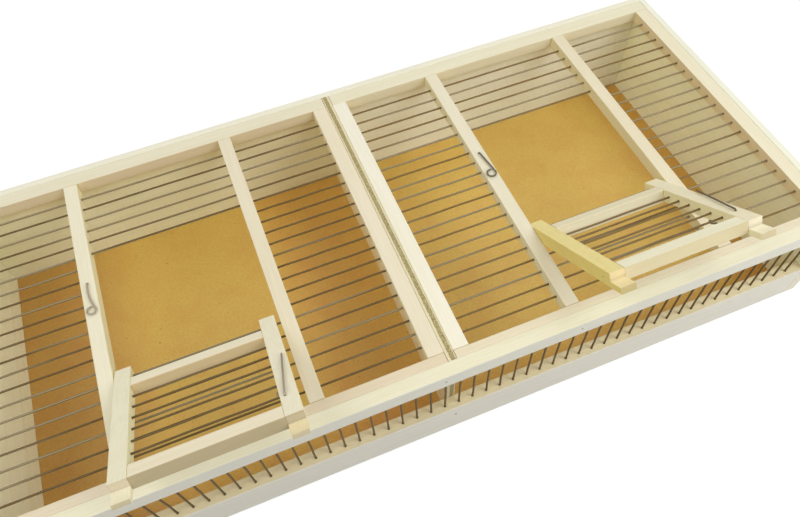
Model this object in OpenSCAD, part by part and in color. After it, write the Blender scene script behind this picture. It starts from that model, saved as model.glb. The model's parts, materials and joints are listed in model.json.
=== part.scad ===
// Wooden transport box with two compartments and a wired grille door over each one.
// Length runs along X, depth along Y with the front at -Y, and height along Z.
// The origin is the middle of the underside.

/* [Box] */
// Outside length of the box
box_length = 1000; // [900:5:1200]
// Outside depth of the box, front to back
box_depth = 450; // [430:5:560]
// Outside height of the box
box_height = 155; // [140:1:220]
// Thickness of the wall and front boards
board = 16; // [14:0.5:20]
// Wall thickness left outside the grille frames
lip = 9; // [7:0.5:11]
// Height of the lower front board
lower_board_h = 57; // [40:1:70]
// Height of the upper front rail
top_rail_h = 24; // [22:0.5:32]
// Thickness of the hardboard floor
floor_t = 3.2; // [2.5:0.1:5]
// How far the floor reaches into the wall boards
floor_seat = 8; // [5:0.5:10]
// Play of the floor in its rebate
floor_play = 0.3; // [0.1:0.1:0.6]
// Thickness of the plywood partition
partition_t = 9.3; // [6:0.1:12]

/* [Front bars] */
// Diameter of the upright wires in the front opening
bar_d = 2.4; // [2:0.1:3]
// Distance from one front bar to the next
bar_pitch = 17.5; // [15:0.1:22]
// Distance from the left wall to the first front bar
bar_first = 17.7; // [12:0.1:25]
// Distance of the front bars behind the front face
bar_setback = 6.7; // [5:0.1:9]
// Depth of the bar holes in the front boards
bar_hole_depth = 9; // [6:0.5:12]

/* [Grille frames] */
// Thickness of the grille frames
frame_t = 16; // [14:0.5:20]
// Width of the rear rails
rear_rail_w = 18.7; // [16:0.1:24]
// Left frame: width of the front rail
left_front_rail_w = 11.4; // [10:0.1:16]
// Right frame: width of the front rail
right_front_rail_w = 10; // [9:0.1:16]
// Width of the stiles at both ends of a frame
stile_w = 18.2; // [16:0.1:22]
// Width of the crossbars beside the doors
crossbar_w = 16.6; // [15:0.1:20]
// Play of a frame in its rebate and beside the partition
frame_play = 0.3; // [0.1:0.1:0.6]
// Left compartment: gap from the outer stile to the first crossbar
left_bay = 119.4; // [100:0.1:140]
// Right compartment: gap from the inner stile to the first crossbar
right_bay = 115.9; // [100:0.1:140]
// Diameter of the grille rods
rod_d = 2.4; // [2:0.1:3]
// Distance from one rod to the next
rod_pitch = 17.8; // [17:0.1:20]
// Distance from the front of the frames to the first rod
rod_first = 29.4; // [26:0.1:33]
// Depth of the rod holes in stiles and crossbars
rod_hole_depth = 8; // [6:0.5:8]

/* [Doors] */
// Number of rods in front of the hinge rod
rods_before_hinge = 5; // [4:1:6]
// Number of rod steps from the hinge rod to the rod that the door closes on
door_steps = 10; // [8:1:10]
// Outside width of a door
door_w = 176.3; // [150:0.1:200]
// Left door: thickness
left_door_t = 14.5; // [14.5:0.1:17]
// Right door: thickness
right_door_t = 16; // [16:0.1:17]
// Left door: hinge hole to outer face, which sets how far it opens
left_axis_depth = 6.8; // [6.6:0.1:7.5]
// Right door: hinge hole to outer face, which sets how far it opens
right_axis_depth = 8.5; // [6.6:0.1:9]
// Left door: gap to the crossbar on its left
left_door_gap = 1.1; // [0.4:0.1:1.5]
// Left door: gap to the crossbar on its right
left_door_far_gap = 5; // [2:0.1:6]
// Right door: gap to the crossbar on its left
right_door_gap = 0.4; // [0.4:0.1:1.5]
// Right door: gap to the crossbar on its right
right_door_far_gap = 3.3; // [2:0.1:6]
// Width of the door's side rails
door_rail_w = 17.2; // [16:0.1:18]
// Side rail left behind the hinge hole
door_lug = 8.6; // [7:0.1:10]
// Hinge hole to the hinge-side bar
door_bar_offset = 13.9; // [13:0.1:16]
// Width of the hinge-side bar
door_rear_bar_w = 14.7; // [13:0.1:17]
// Width of the free-side bar
door_front_bar_w = 17.2; // [15:0.1:19]
// How far the horns reach past the rod they rest on
horn_reach = 4.9; // [3:0.1:6]
// Left door: length of the horns
left_horn_length = 16.2; // [14:0.1:18]
// Right door: length of the horns
right_horn_length = 18.2; // [14:0.1:20]
// Right door: how much thinner than its rails the free-side bar is, on the outer side
right_bar_inset = 2; // [0:0.1:3]
// Distance from the hinge-side bar to the first door rod
door_rod_first = 9.4; // [7:0.1:12]
// Gap left where a door rests on a rod
rest_gap = 0.3; // [0.2:0.05:0.5]

/* [Hooks and latches] */
// Diameter of the hook and latch wire
wire_d = 2; // [1.6:0.1:2.4]
// Middle radius of the eye at a wire's end
eye_r = 6; // [5:0.1:6.5]
// Turn of the eye's wire
eye_turn = 300; // [250:1:300]
// Middle radius of the bend over the wood
bend_r = 2; // [1.8:0.1:2.4]
// Distance of the hook pivots behind the hinge rod
hook_offset = 131; // [128:0.5:134]
// Distance from a hook's pivot to the middle of its eye
hook_length = 37; // [30:0.5:42]
// Depth of a hook's leg in the crossbar
hook_leg = 11; // [8:0.5:12]
// Distance of the latch pivots from the hinge rod
latch_offset = 137; // [136:0.5:139]
// Left latch: length of the arm on the door's inner face
left_latch_arm = 65; // [55:0.5:75]
// Right latch: length of the arm on the door's inner face
right_latch_arm = 73; // [55:0.5:75]
// Left latch: distance of its hole from the outer edge of the side rail
left_latch_edge = 11.9; // [6:0.1:12]
// Right latch: distance of its hole from the outer edge of the side rail
right_latch_edge = 8.6; // [6:0.1:12]
// Length of the handle on the door's outer face
latch_handle = 28; // [20:0.5:36]
// Distance of the arm's middle above the inner face
latch_arm_lift = 2.2; // [2:0.1:2.6]
// Distance of the handle's middle above the outer face
latch_handle_lift = 3.2; // [3:0.1:4]
// Angle of the latches from the side rail in the drawn pose
latch_lean = 7; // [0:0.5:10]

/* [Brads] */
// Shank diameter of the brads
brad_d = 1.4; // [1.2:0.1:1.8]
// Head diameter of the brads
brad_head_d = 2.6; // [2:0.1:3]
// Head thickness of the brads
brad_head_t = 0.8; // [0.6:0.1:1]
// Length of the brads in the boards
brad_length = 30; // [24:1:35]
// Length of the brads under the floor
floor_brad_length = 14; // [10:1:18]

/* [Fits] */
// Radial play of the wires and rods that are fixed in the wood
fixed_play = 0.05; // [0.03:0.01:0.08]
// Radial play of the hinge rods and the turning wires
turning_play = 0.08; // [0.05:0.01:0.1]
// Gap at the bottom of a blind hole
hole_end = 0.3; // [0.2:0.1:0.5]

/* [Hidden] */
$fn = 32;

LEFT = 0;
RIGHT = 1;
eps = 0.5;

// Outer and inner faces of the box
half_l = box_length / 2;
half_d = box_depth / 2;
inner_l = half_l - board;
inner_d = half_d - board;
rebate = board - lip;
frame_z = box_height - frame_t;
rod_z = box_height - frame_t / 2;
upper_rail_z = box_height - top_rail_h;

// Radii
bar_r = bar_d / 2;
rod_r = rod_d / 2;
wire_r = wire_d / 2;

// Frame faces along Y
frame_front = -inner_d;
frame_back = inner_d + rebate - frame_play;
front_rail_w = [left_front_rail_w, right_front_rail_w];
function rods_front(side) = frame_front + front_rail_w[side];
rods_back = frame_back - rear_rail_w;
rod_count = floor((rods_back - frame_front - rod_first - rod_pitch / 2) / rod_pitch) + 1;
function rod_y(i) = frame_front + rod_first + i * rod_pitch;
hinge_i = rods_before_hinge;
rest_i = hinge_i + door_steps;
hinge_y = rod_y(hinge_i);

// Frame faces along X, for the left and the right compartment
frame_x0 = [-(half_l - lip) + frame_play, partition_t / 2 + frame_play];
frame_x1 = [-partition_t / 2 - frame_play, half_l - lip - frame_play];
bay = [left_bay, right_bay];
door_gap = [left_door_gap, right_door_gap];
door_far_gap = [left_door_far_gap, right_door_far_gap];
function clear_x0(side) = frame_x0[side] + stile_w;
function clear_x1(side) = frame_x1[side] - stile_w;
function crossbar_a_x(side) = clear_x0(side) + bay[side];
function door_bay_x(side) = crossbar_a_x(side) + crossbar_w;
function door_x(side) = door_bay_x(side) + door_gap[side];
function crossbar_b_x(side) = door_x(side) + door_w + door_far_gap[side];

// Doors: s runs from the hinge rod to the free end
axis_depth = [left_axis_depth, right_axis_depth];
door_t = [left_door_t, right_door_t];
horn_length = [left_horn_length, right_horn_length];
bar_inset = [0, right_bar_inset];
function open_angle(side) = asin((axis_depth[side] + rod_r + rest_gap) / rod_pitch);
horn_end = door_steps * rod_pitch + horn_reach;
hinge_bar_end = door_bar_offset + door_rear_bar_w;
function full_end(side) = horn_end - horn_length[side];
function free_bar_start(side) = full_end(side) - door_front_bar_w;
function door_rod_space(side) = free_bar_start(side) - hinge_bar_end - door_rod_first;
function door_rod_count(side) = floor((door_rod_space(side) - rod_pitch / 2) / rod_pitch) + 1;
function door_rod_s(i) = hinge_bar_end + door_rod_first + i * rod_pitch;

// Front bars
bar_count = floor((2 * inner_l - bar_first - bar_pitch / 2) / bar_pitch) + 1;
function bar_x(i) = -inner_l + bar_first + i * bar_pitch;
bar_y = -half_d + bar_setback;
left_bars = [for (i = [0 : bar_count - 1]) if (bar_x(i) < 0) bar_x(i)];
right_bars = [for (i = [0 : bar_count - 1]) if (bar_x(i) >= 0) bar_x(i)];

// Brads: two heads show on the upper rail and one on the lower board, over the end of the partition
brad_in = board / 2;
brad_step = 4;
upper_brad_z = rod_z - brad_step;
front_brad_x = [frame_x1[LEFT] - stile_w / 2, crossbar_a_x(RIGHT) + crossbar_w / 2];
lower_brad_z = [lower_board_h * 0.3, lower_board_h * 0.66];
front_brad_z = concat(lower_brad_z, [upper_brad_z - brad_step]);
back_brad_z = [box_height * 0.2, box_height * 0.5, box_height * 0.8];
floor_brad_inset = floor_seat / 2;
floor_brad_margin = 35;
floor_brad_x = [for (i = [-4 : 4]) i * (inner_l - floor_brad_margin) / 4];
floor_brad_y = [for (i = [-1 : 1]) i * (inner_d - floor_brad_margin)];

wood = [0.93, 0.87, 0.72];
wood_2 = [0.90, 0.83, 0.68];
ply = [0.85, 0.76, 0.55];
hardboard = [0.70, 0.50, 0.24];
steel = [0.45, 0.43, 0.38];

// A box between two corners
module block(a, b) {
    translate(a) cube(b - a);
}

// A rod or hole along X
module round_x(x0, x1, y, z, r) {
    translate([x0, y, z]) rotate([0, 90, 0]) cylinder(h = x1 - x0, r = r);
}

// Brad along -Z with its head's top at the origin, or with play its hole
module brad(length, play = 0) {
    deeper = play > 0 ? hole_end : 0;
    above = play > 0 ? eps : 0;
    translate([0, 0, -length - deeper]) cylinder(h = length + deeper, r = brad_d / 2 + play);
    translate([0, 0, -brad_head_t]) cylinder(h = brad_head_t + above, r = brad_head_d / 2 + play);
}

module front_brads_at(play = 0) {
    for (x = front_brad_x)
        translate([x, -half_d, upper_brad_z]) rotate([90, 0, 0]) brad(brad_length, play);
    translate([0, -half_d, lower_brad_z[1]]) rotate([90, 0, 0]) brad(brad_length, play);
}

module end_brads_at(play = 0) {
    for (side = [-1, 1]) {
        for (z = front_brad_z)
            translate([side * half_l, -half_d + brad_in, z])
                rotate([0, side * 90, 0]) brad(brad_length, play);
        for (z = back_brad_z)
            translate([side * half_l, half_d - brad_in, z])
                rotate([0, side * 90, 0]) brad(brad_length, play);
    }
}

module floor_brads_at(play = 0) {
    for (x = floor_brad_x, side = [-1, 1])
        translate([x, side * (inner_d + floor_brad_inset), 0])
            mirror([0, 0, 1]) brad(floor_brad_length, play);
    for (y = floor_brad_y, side = [-1, 1])
        translate([side * (inner_l + floor_brad_inset), y, 0])
            mirror([0, 0, 1]) brad(floor_brad_length, play);
}

module floor_panel() {
    x = inner_l + floor_seat - floor_play;
    y = inner_d + floor_seat - floor_play;
    color(hardboard) difference() {
        block([-x, -y, 0], [x, y, floor_t]);
        floor_brads_at(fixed_play);
    }
}

module back_wall() {
    color(wood) difference() {
        block([-inner_l, inner_d, 0], [inner_l, half_d, box_height]);
        block([-half_l, inner_d - eps, frame_z], [half_l, inner_d + rebate, box_height + eps]);
        block([-half_l, inner_d - eps, -eps], [half_l, inner_d + floor_seat, floor_t]);
        end_brads_at(fixed_play);
        floor_brads_at(fixed_play);
    }
}

// An end wall: dir is -1 on the left and 1 on the right
module end_wall(dir) {
    color(wood_2) difference() {
        mirror([dir < 0 ? 1 : 0, 0, 0]) difference() {
            block([inner_l, -half_d, 0], [half_l, half_d, box_height]);
            block([inner_l - eps, -inner_d, frame_z],
                [inner_l + rebate, inner_d + rebate, box_height + eps]);
            block([inner_l - eps, -inner_d - floor_seat, -eps],
                [inner_l + floor_seat, inner_d + floor_seat, floor_t]);
        }
        end_brads_at(fixed_play);
        floor_brads_at(fixed_play);
    }
}

module bar_holes(z0, z1) {
    for (i = [0 : bar_count - 1])
        translate([bar_x(i), bar_y, z0]) cylinder(h = z1 - z0, r = bar_r + fixed_play);
}

module lower_front_board() {
    color(wood) difference() {
        block([-inner_l, -half_d, 0], [inner_l, -inner_d, lower_board_h]);
        block([-half_l, -inner_d - floor_seat, -eps], [half_l, -inner_d + eps, floor_t]);
        bar_holes(lower_board_h - bar_hole_depth - hole_end, lower_board_h + eps);
        front_brads_at(fixed_play);
        end_brads_at(fixed_play);
        floor_brads_at(fixed_play);
    }
}

module upper_front_rail() {
    color(wood) difference() {
        block([-inner_l, -half_d, upper_rail_z], [inner_l, -inner_d, box_height]);
        bar_holes(upper_rail_z - eps, upper_rail_z + bar_hole_depth + hole_end);
        front_brads_at(fixed_play);
        end_brads_at(fixed_play);
    }
}

// The partition has a tongue at the top that sits in the back wall's rebate
module partition() {
    color(ply) difference() {
        union() {
            block([-partition_t / 2, -inner_d, floor_t], [partition_t / 2, inner_d, box_height]);
            block([-partition_t / 2, inner_d - eps, frame_z],
                [partition_t / 2, inner_d + rebate, box_height]);
        }
        front_brads_at(fixed_play);
    }
}

module front_bars(xs) {
    color(steel) for (x = xs)
        translate([x, bar_y, lower_board_h - bar_hole_depth])
            cylinder(h = upper_rail_z - lower_board_h + 2 * bar_hole_depth, r = bar_r);
}

// Rods i0 to i1 between two faces, let into the wood at both ends
module rods(x0, x1, i0, i1, play = 0) {
    depth = rod_hole_depth + (play > 0 ? hole_end : 0);
    for (i = [i0 : i1])
        round_x(x0 - depth, x1 + depth, rod_y(i), rod_z, rod_r + play);
}

// Every rod that reaches into the frame's wood
module rod_holes(side) {
    a = crossbar_a_x(side);
    b = crossbar_b_x(side);
    rods(clear_x0(side), clear_x1(side), 0, hinge_i, fixed_play);
    rods(clear_x0(side), clear_x1(side), rest_i, rod_count - 1, fixed_play);
    rods(clear_x0(side), a, hinge_i + 1, rest_i - 1, fixed_play);
    rods(b + crossbar_w, clear_x1(side), hinge_i + 1, rest_i - 1, fixed_play);
}

module rear_rail(side) {
    color(wood) block([frame_x0[side], rods_back, frame_z], [frame_x1[side], frame_back, box_height]);
}

module front_rail(side) {
    color(wood_2) difference() {
        block([frame_x0[side], frame_front, frame_z], [frame_x1[side], rods_front(side), box_height]);
        front_brads_at(fixed_play);
    }
}

// A stile or crossbar whose left face is at x
module cross_piece(side, x, w) {
    color(wood) difference() {
        block([x, rods_front(side), frame_z], [x + w, rods_back, box_height]);
        rod_holes(side);
        front_brads_at(fixed_play);
    }
}

// The first crossbar also carries the hook's leg
module crossbar_a(side) {
    color(wood) difference() {
        cross_piece(side, crossbar_a_x(side), crossbar_w);
        translate([hook_x(side), hook_y, box_height - hook_leg - hole_end])
            cylinder(h = hook_leg + hole_end + eps, r = wire_r + turning_play);
    }
}

module full_rods(side, i0, i1) {
    color(steel) rods(clear_x0(side), clear_x1(side), i0, i1);
}

module outer_bay_rods(side) {
    x0 = side == LEFT ? clear_x0(side) : crossbar_b_x(side) + crossbar_w;
    x1 = side == LEFT ? crossbar_a_x(side) : clear_x1(side);
    color(steel) rods(x0, x1, hinge_i + 1, rest_i - 1);
}

module inner_bay_rods(side) {
    x0 = side == LEFT ? crossbar_b_x(side) + crossbar_w : clear_x0(side);
    x1 = side == LEFT ? clear_x1(side) : crossbar_a_x(side);
    color(steel) rods(x0, x1, hinge_i + 1, rest_i - 1);
}

// Places a door that is drawn with its free end towards -Y and its outer face down
module place_door(side) {
    translate([door_x(side), hinge_y, rod_z]) rotate([-open_angle(side), 0, 0]) children();
}

// A side rail with its left face at x, a lug behind the hinge hole and a horn at the free end
module door_rail(side, x) {
    bottom = -axis_depth[side];
    x1 = x + door_rail_w;
    hole_start = door_rail_w - rod_hole_depth - hole_end;
    difference() {
        union() {
            block([x, -full_end(side), bottom], [x1, door_lug, bottom + door_t[side]]);
            block([x, -horn_end, bottom], [x1, -full_end(side) + eps, -rod_r - rest_gap]);
        }
        round_x(x - eps, x1 + eps, 0, 0, rod_r + turning_play);
        for (i = [0 : door_rod_count(side) - 1])
            round_x(hole_start, door_w - hole_start, -door_rod_s(i), 0, rod_r + fixed_play);
        translate([latch_x(side), -latch_offset, bottom - eps])
            cylinder(h = door_t[side] + 2 * eps, r = wire_r + turning_play);
    }
}

module door_rail_a(side) {
    color(wood_2) place_door(side) door_rail(side, 0);
}

module door_rail_b(side) {
    color(wood_2) place_door(side) door_rail(side, door_w - door_rail_w);
}

// A bar between the side rails, from s0 to s1, thinner by inset on the outer side
module door_bar(side, s0, s1, inset = 0) {
    bottom = -axis_depth[side];
    color(wood) place_door(side)
        block([door_rail_w, -s1, bottom + inset], [door_w - door_rail_w, -s0, bottom + door_t[side]]);
}

module free_bar(side) {
    door_bar(side, free_bar_start(side), full_end(side), bar_inset[side]);
}

module door_rods(side) {
    color(steel) place_door(side)
        for (i = [0 : door_rod_count(side) - 1])
            round_x(door_rail_w - rod_hole_depth, door_w - door_rail_w + rod_hole_depth,
                -door_rod_s(i), 0, rod_r);
}

// Wire pieces that run along +Z and carry what follows at their end
module run(length) {
    cylinder(h = length, r = wire_r);
    translate([0, 0, length]) children();
}

module bend(radius, angle) {
    translate([radius, 0, 0]) rotate([90, 0, 180])
        rotate_extrude(angle = angle) translate([radius, 0]) circle(r = wire_r);
    translate([radius, 0, 0]) rotate([0, angle, 0]) translate([-radius, 0, 0]) children();
}

function hook_x(side) = crossbar_a_x(side) + crossbar_w / 2;
hook_y = hinge_y + hook_offset;
shank_angle = asin(eye_r / hook_length);
shank = hook_length * cos(shank_angle);

// A hook stands in the crossbar, runs to the front along the top and ends in an eye
module hook(side) {
    color(steel) translate([hook_x(side), hook_y, box_height - hook_leg])
        rotate([0, 0, -90 + shank_angle])
            run(hook_leg) bend(bend_r, 90) run(shank - bend_r)
                rotate([0, 0, -90]) bend(eye_r, eye_turn);
}

latch_arm = [left_latch_arm, right_latch_arm];
latch_edge = [left_latch_edge, right_latch_edge];
function latch_x(side) = door_w - latch_edge[side];

// A latch is one wire: arm on the inner face, leg through the side rail, handle with an eye outside
module latch(side) {
    top = door_t[side] - axis_depth[side];
    leg = door_t[side] + latch_arm_lift + latch_handle_lift - 2 * bend_r;
    color(steel) place_door(side)
        translate([latch_x(side), -latch_offset, top]) rotate([0, 0, -latch_lean])
            translate([0, latch_arm[side], latch_arm_lift]) rotate([90, 0, 0]) rotate([0, 0, -90])
                run(latch_arm[side] - bend_r) bend(bend_r, 90) run(leg) bend(bend_r, 90)
                    run(latch_handle - bend_r) rotate([0, 0, -90]) bend(eye_r, eye_turn);
}

module front_brads() {
    color(steel) front_brads_at();
}

module end_brads() {
    color(steel) end_brads_at();
}

module floor_brads() {
    color(steel) floor_brads_at();
}

floor_panel();
back_wall();
end_wall(-1);  // left_end_wall
end_wall(1);  // right_end_wall
lower_front_board();
upper_front_rail();
partition();
front_bars(left_bars);  // left_front_bars
front_bars(right_bars);  // right_front_bars
rear_rail(LEFT);  // left_rear_rail
front_rail(LEFT);  // left_front_rail
cross_piece(LEFT, frame_x0[LEFT], stile_w);  // left_outer_stile
cross_piece(LEFT, clear_x1(LEFT), stile_w);  // left_inner_stile
crossbar_a(LEFT);  // left_crossbar_a
cross_piece(LEFT, crossbar_b_x(LEFT), crossbar_w);  // left_crossbar_b
full_rods(LEFT, hinge_i, hinge_i);  // left_hinge_rod
full_rods(LEFT, rest_i, rod_count - 1);  // left_rear_rods
full_rods(LEFT, 0, hinge_i - 1);  // left_front_rods
outer_bay_rods(LEFT);  // left_outer_bay_rods
inner_bay_rods(LEFT);  // left_inner_bay_rods
rear_rail(RIGHT);  // right_rear_rail
front_rail(RIGHT);  // right_front_rail
cross_piece(RIGHT, clear_x1(RIGHT), stile_w);  // right_outer_stile
cross_piece(RIGHT, frame_x0[RIGHT], stile_w);  // right_inner_stile
crossbar_a(RIGHT);  // right_crossbar_a
cross_piece(RIGHT, crossbar_b_x(RIGHT), crossbar_w);  // right_crossbar_b
full_rods(RIGHT, hinge_i, hinge_i);  // right_hinge_rod
full_rods(RIGHT, rest_i, rod_count - 1);  // right_rear_rods
full_rods(RIGHT, 0, hinge_i - 1);  // right_front_rods
outer_bay_rods(RIGHT);  // right_outer_bay_rods
inner_bay_rods(RIGHT);  // right_inner_bay_rods
door_rail_a(LEFT);  // left_door_rail_a
door_rail_b(LEFT);  // left_door_rail_b
door_bar(LEFT, door_bar_offset, hinge_bar_end);  // left_door_hinge_bar
free_bar(LEFT);  // left_door_free_bar
door_rods(LEFT);  // left_door_rods
door_rail_a(RIGHT);  // right_door_rail_a
door_rail_b(RIGHT);  // right_door_rail_b
door_bar(RIGHT, door_bar_offset, hinge_bar_end);  // right_door_hinge_bar
free_bar(RIGHT);  // right_door_free_bar
door_rods(RIGHT);  // right_door_rods
hook(LEFT);  // left_hook
hook(RIGHT);  // right_hook
latch(LEFT);  // left_latch
latch(RIGHT);  // right_latch
front_brads();
end_brads();
floor_brads();
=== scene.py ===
# Looks of the wooden transport box: rounded softwood boards, straightened wire, bent hooks and latches
import json
import math

import bmesh
import bpy
import numpy as np
from mathutils import Euler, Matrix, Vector


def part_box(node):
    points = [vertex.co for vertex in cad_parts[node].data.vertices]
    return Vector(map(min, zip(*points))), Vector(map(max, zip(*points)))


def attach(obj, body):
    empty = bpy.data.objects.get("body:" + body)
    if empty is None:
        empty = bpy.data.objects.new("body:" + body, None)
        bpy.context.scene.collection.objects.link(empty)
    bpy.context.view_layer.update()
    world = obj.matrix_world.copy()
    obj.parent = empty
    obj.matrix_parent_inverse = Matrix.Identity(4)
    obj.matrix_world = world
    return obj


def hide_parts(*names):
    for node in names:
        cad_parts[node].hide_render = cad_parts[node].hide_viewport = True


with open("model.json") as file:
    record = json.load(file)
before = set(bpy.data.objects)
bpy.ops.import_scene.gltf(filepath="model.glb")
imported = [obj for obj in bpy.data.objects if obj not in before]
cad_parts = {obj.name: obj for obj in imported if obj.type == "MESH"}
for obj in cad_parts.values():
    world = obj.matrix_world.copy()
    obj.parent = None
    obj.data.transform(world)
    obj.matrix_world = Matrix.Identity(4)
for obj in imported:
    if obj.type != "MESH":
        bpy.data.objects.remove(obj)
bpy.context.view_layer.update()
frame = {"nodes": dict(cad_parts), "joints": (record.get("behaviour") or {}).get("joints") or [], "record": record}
nodes = frame["nodes"]
joints = {joint["child"]: joint for joint in frame["joints"]}
bodyOf = {node: body for body, held in frame["record"]["behaviour"]["bodies"].items() for node in held}
mm = 0.001
print("frame loaded:", len(nodes), "nodes")


class Term:  # one value in a material, so that shader maths can be written as sums
    def __init__(self, finish, socket):
        self.finish = finish
        self.socket = socket

    def __add__(self, other):
        return self.finish.maths("ADD", self, other)

    def __radd__(self, other):
        return self.finish.maths("ADD", other, self)

    def __sub__(self, other):
        return self.finish.maths("SUBTRACT", self, other)

    def __rsub__(self, other):
        return self.finish.maths("SUBTRACT", other, self)

    def __mul__(self, other):
        return self.finish.maths("MULTIPLY", self, other)

    def __rmul__(self, other):
        return self.finish.maths("MULTIPLY", other, self)


class Finish:  # the shader nodes of a material or of the sky
    def __init__(self, owner):
        self.owner = owner
        owner.use_nodes = True
        self.tree = owner.node_tree
        self.tree.nodes.clear()

    def node(self, kind, settings=None, inputs=None, output=0):
        made = self.tree.nodes.new(kind)
        for key, value in (settings or {}).items():
            setattr(made, key, value)
        for key, value in (inputs or {}).items():
            if isinstance(value, Term):
                self.tree.links.new(value.socket, made.inputs[key])
            else:
                made.inputs[key].default_value = value
        return Term(self, made.outputs[output]) if len(made.outputs) else made

    def maths(self, operation, a, b=0.0, c=0.0):
        return self.node("ShaderNodeMath", {"operation": operation}, {0: a, 1: b, 2: c})

    def distance(self, a, b):  # the long side of a right angle with the short sides a and b
        return self.maths("SQRT", a * a + b * b)

    def inside(self, value, low, high):  # 1 from low to high, 0 elsewhere
        return self.maths("COMPARE", value, (low + high) / 2, (high - low) / 2)

    def between(self, value, low, high):  # 0 below low, 1 above high, smooth in the middle
        return self.node("ShaderNodeMapRange", {"interpolation_type": "SMOOTHSTEP"},
                         {"Value": value, "From Min": low, "From Max": high})

    def noise(self, place, scale, detail=2.0, rough=0.5, cut=None):  # cut gives it clear patches, low to high
        value = self.node("ShaderNodeTexNoise", None,
                          {"Vector": place, "Scale": scale, "Detail": detail, "Roughness": rough})
        return self.between(value, *cut) if cut else value

    def pattern(self, stretch=(1, 1, 1), turn=(0, 0, 0), **noise):
        return self.noise(self.place(turn=turn, stretch=stretch), **noise)

    def mix(self, share, a, b, blend="MIX"):  # the node's colour sockets have numbers of their own
        return self.node("ShaderNodeMix", {"data_type": "RGBA", "blend_type": blend},
                         {0: share, 6: a, 7: b}, output=2)

    def place(self, turn=(0, 0, 0), move=(0, 0, 0), stretch=(1, 1, 1)):  # object coordinates in millimetres
        flat = self.node("ShaderNodeTexCoord", output="Object")
        return self.node("ShaderNodeMapping", None, {
            "Vector": flat, "Rotation": turn, "Location": move, "Scale": tuple(s / mm for s in stretch)})

    def parts(self, place):  # the x, y and z of a place
        return {axis: self.node("ShaderNodeSeparateXYZ", None, {"Vector": place}, output=axis.upper())
                for axis in "xyz"}

    def finish(self, colour, roughness, height=None, bump=None, **fixed):
        shader = {"Base Color": colour, "Roughness": roughness, **fixed}
        if height is not None:
            shader["Normal"] = self.node("ShaderNodeBump", None, {"Height": height, **bump})
        made = self.node("ShaderNodeBsdfPrincipled", None, shader)
        self.node("ShaderNodeOutputMaterial", None, {"Surface": made})
        return self.owner


def newFinish(name):
    return Finish(bpy.data.materials.new(name))


def rgb(red, green, blue):  # screen colour, 0 to 255, to linear colour by the usual screen curve
    share = [c / 255 for c in (red, green, blue)]
    return tuple(c / 12.92 if c <= 0.04045 else ((c + 0.055) / 1.055) ** 2.4 for c in share) + (1.0,)


def tinted(tone, share):
    return tuple(t * s for t, s in zip(tone, share)) + (1.0,)


def drawnOut(along, share):  # a stretch that draws a pattern out along one axis
    return tuple(share if axis == along else 1.0 for axis in "xyz")


# Lengths in the materials are millimetres, and the scale of a noise is its waves to the millimetre
woodLook = {
    "ringWidth": 3.2,                                # from one year ring to the next
    "pithSide": (120, 320), "pithDeep": (60, 200),   # range of the distance to the middle of the tree
    "ringBend": {"scale": 0.03}, "bendRings": 7.0,   # slow noise shifts the rings by so many of their widths
    "ringEnd": (0.90, 1.0),                          # share of a ring in which its dark late wood ends
    "streak": {"scale": 0.14, "detail": 3.0, "rough": 0.6, "cut": (0.35, 0.68)},
    "fibre": {"scale": 1.6, "detail": 2.0, "rough": 0.6, "cut": (0.40, 0.72)},
    "blotch": {"scale": 0.012, "cut": (0.40, 0.65)},
    "streakDraw": 0.05, "fibreDraw": 0.018,          # along the board a pattern has this share of its waves
    "ringDepth": 0.16, "streakDepth": 0.15,          # how strongly each pattern shows
    "fibreDepth": 0.20, "blotchDepth": 0.3,
    "late": (0.80, 0.73, 0.54),                      # late wood is this share of the tone
    "blotchShare": (1.02, 0.96, 0.86),
    "toneLate": 0.8,                                 # late wood in a slice with a tone of its own
    "holeRim": 0.8, "holeDark": 0.75,                # painted shade round a wire's hole, and a nail's dark head
    "holeTone": rgb(84, 62, 34),
    "roughness": 0.62, "fibreRough": 0.12, "ringHeight": 0.4,
    "bump": {"Strength": 0.3, "Distance": 0.1 * mm},
    "seed": 11, "shift": 300,                        # each board is cut from its own place in the patterns
}


# Each slice is the part of a board between two values along one axis, with its share of the board's tone.
# Slices hold darker end grain, and painted light and shade on single faces.
def grainAndLightSlices(f, colour, tone, dark, spot, slices):
    for axis, low, high, share in slices:
        late = [s * woodLook["toneLate"] for s in share]
        toned = f.mix(dark, tinted(tone, share), tinted(tone, late))
        colour = f.mix(f.inside(spot[axis], low, high), colour, toned)
    return colour


# Each row of holes has a first hole and a pitch along one axis and a level on another. Its rims show only
# within the ranges that it gives, which keep them on the face that the wires enter.
# The rims are painted shade round the wires where they enter the wood, and the nail's row paints its dark head.
def holeShadeAndNail(f, colour, spot, rows):
    look = woodLook
    for row in rows:
        rowAxis, first, pitch = row["row"]
        levelAxis, level = row["level"]
        step = f.maths("PINGPONG", spot[rowAxis] - first, pitch / 2)
        away = f.distance(step, spot[levelAxis] - level)
        rim = 1.0 - f.between(away, row["radius"], row["radius"] + look["holeRim"])
        for axis, (low, high) in row.get("within", {}).items():
            rim = rim * f.inside(spot[axis], low, high)
        colour = f.mix(rim * look["holeDark"], colour, look["holeTone"])
    return colour


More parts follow.
